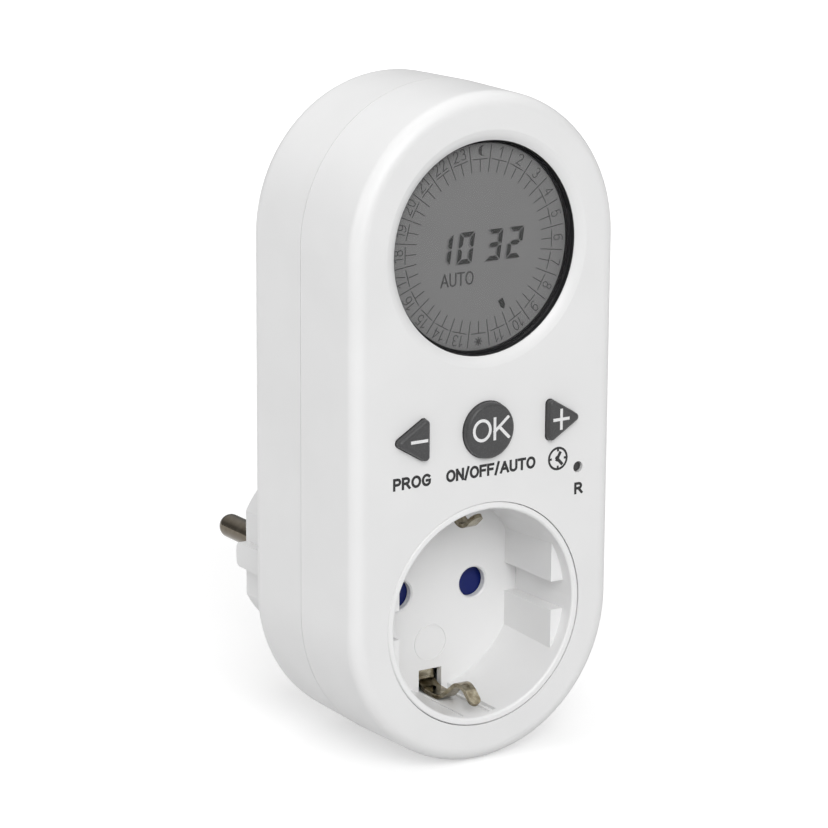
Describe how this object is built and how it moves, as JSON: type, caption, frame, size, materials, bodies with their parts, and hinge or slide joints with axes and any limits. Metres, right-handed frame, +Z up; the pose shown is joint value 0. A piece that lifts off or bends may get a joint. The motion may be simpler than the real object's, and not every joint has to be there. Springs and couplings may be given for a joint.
{
  "type": "plug-in socket timer",
  "caption": "Plug-in digital timer with a round display, three keys, a recessed reset button and an earthed socket in front of an earthed round-pin plug.",
  "frame": {"origin": "centre of the plug's end face, on the common axis of plug and socket", "axes": "+Z up towards the display, front faces -Y, plug pins point along +Y"},
  "size_m": [0.057, 0.079, 0.1247],
  "materials": {
    "housing_white": "white, fine matt",
    "socket_white": "white, satin",
    "shutter_blue": "satin deep blue",
    "spring_steel": "bright wire",
    "inner_plastic": "plain moulded",
    "contact_brass": "stamped brass",
    "earth_metal": "nickelled brass strip",
    "pin_nickel": "nickel-plated",
    "bezel_black": "matt black",
    "window_clear": "clear and glossy",
    "polarizer_film": "neutral grey film",
    "lcd_glass": "clear glass",
    "reflector_film": "satin silver film",
    "foam_black": "closed-cell foam",
    "zebra_rubber": "striped conductive rubber",
    "key_grey": "dark grey, soft satin",
    "mat_silicone": "silicone rubber",
    "switch_black": "moulded black",
    "plunger_black": "moulded black",
    "board_green": "solder mask on glass fibre",
    "resin_black": "cured black resin",
    "crystal_can": "drawn can",
    "cell_steel": "rolled steel can",
    "tab_steel": "nickelled strip",
    "link_pins": "tinned pins in black spacers",
    "relay_case": "blue moulded case",
    "capacitor_case": "yellow moulded box",
    "electrolytic_sleeve": "shrink sleeve",
    "varistor_coat": "dipped epoxy",
    "diode_black": "moulded epoxy",
    "resistor_coat": "flameproof lacquer",
    "transistor_black": "moulded epoxy",
    "lead_brown": "wire insulation",
    "lead_blue": "wire insulation",
    "screw_steel": "zinc-plated"
  },
  "bodies": {
    "timer": {"front_cover": "housing_white", "rear_cover": "housing_white", "socket_insert": "socket_white", "shutter_spring": "spring_steel", "shutter_retainer": "inner_plastic", "contact_block": "inner_plastic", "live_contact": "contact_brass", "neutral_contact": "contact_brass", "earth_bracket": "earth_metal", "plug_earth_strips": "earth_metal", "live_pin": "pin_nickel", "neutral_pin": "pin_nickel", "display_bezel": "bezel_black", "display_window": "window_clear", "lcd_polarizer": "polarizer_film", "lcd_front_glass": "lcd_glass", "lcd_rear_glass": "lcd_glass", "lcd_reflector": "reflector_film", "lcd_cushion": "foam_black", "zebra_strip": "zebra_rubber", "keypad_mat": "mat_silicone", "reset_switch": "switch_black", "control_board": "board_green", "processor_blob": "resin_black", "crystal": "crystal_can", "backup_battery": "cell_steel", "battery_tabs": "tab_steel", "board_link": "link_pins", "power_board": "board_green", "relay": "relay_case", "film_capacitor": "capacitor_case", "electrolytic_capacitors": "electrolytic_sleeve", "varistor": "varistor_coat", "bridge_diodes": "diode_black", "power_resistor": "resistor_coat", "transistor": "transistor_black", "live_lead": "lead_brown", "neutral_lead": "lead_blue", "switched_live_lead": "lead_brown", "neutral_return_lead": "lead_blue", "case_screws": "screw_steel", "board_screws": "screw_steel"},
    "shutter_body": {"shutter": "shutter_blue"},
    "minus_button": {"minus_key": "key_grey"},
    "ok_button": {"ok_key": "key_grey"},
    "plus_button": {"plus_key": "key_grey"},
    "reset_button": {"reset_plunger": "plunger_black"}
  },
  "joints": [
    {"name": "minus_press", "type": "slide", "parent": "timer", "child": "minus_button", "axis": [0, 1, 0], "range_m": [0, 0.0008], "stiffness_N_per_m": 1000, "springref_m": -0.0008, "deforming": ["keypad_mat"]},
    {"name": "ok_press", "type": "slide", "parent": "timer", "child": "ok_button", "axis": [0, 1, 0], "range_m": [0, 0.0008], "stiffness_N_per_m": 1000, "springref_m": -0.0008, "deforming": ["keypad_mat"]},
    {"name": "plus_press", "type": "slide", "parent": "timer", "child": "plus_button", "axis": [0, 1, 0], "range_m": [0, 0.0008], "stiffness_N_per_m": 1000, "springref_m": -0.0008, "deforming": ["keypad_mat"]},
    {"name": "reset_press", "type": "slide", "parent": "timer", "child": "reset_button", "axis": [0, 1, 0], "range_m": [0, 0.0003], "stiffness_N_per_m": 2000, "springref_m": -0.0002},
    {"name": "shutter_turn", "type": "hinge", "parent": "timer", "child": "shutter_body", "pos_m": [0, -0.0378, 0], "axis": [0, 1, 0], "range_deg": [0, 40], "stiffness_Nm_per_rad": 0.02, "springref_deg": -17.19, "deforming": ["shutter_spring"]}
  ]
}
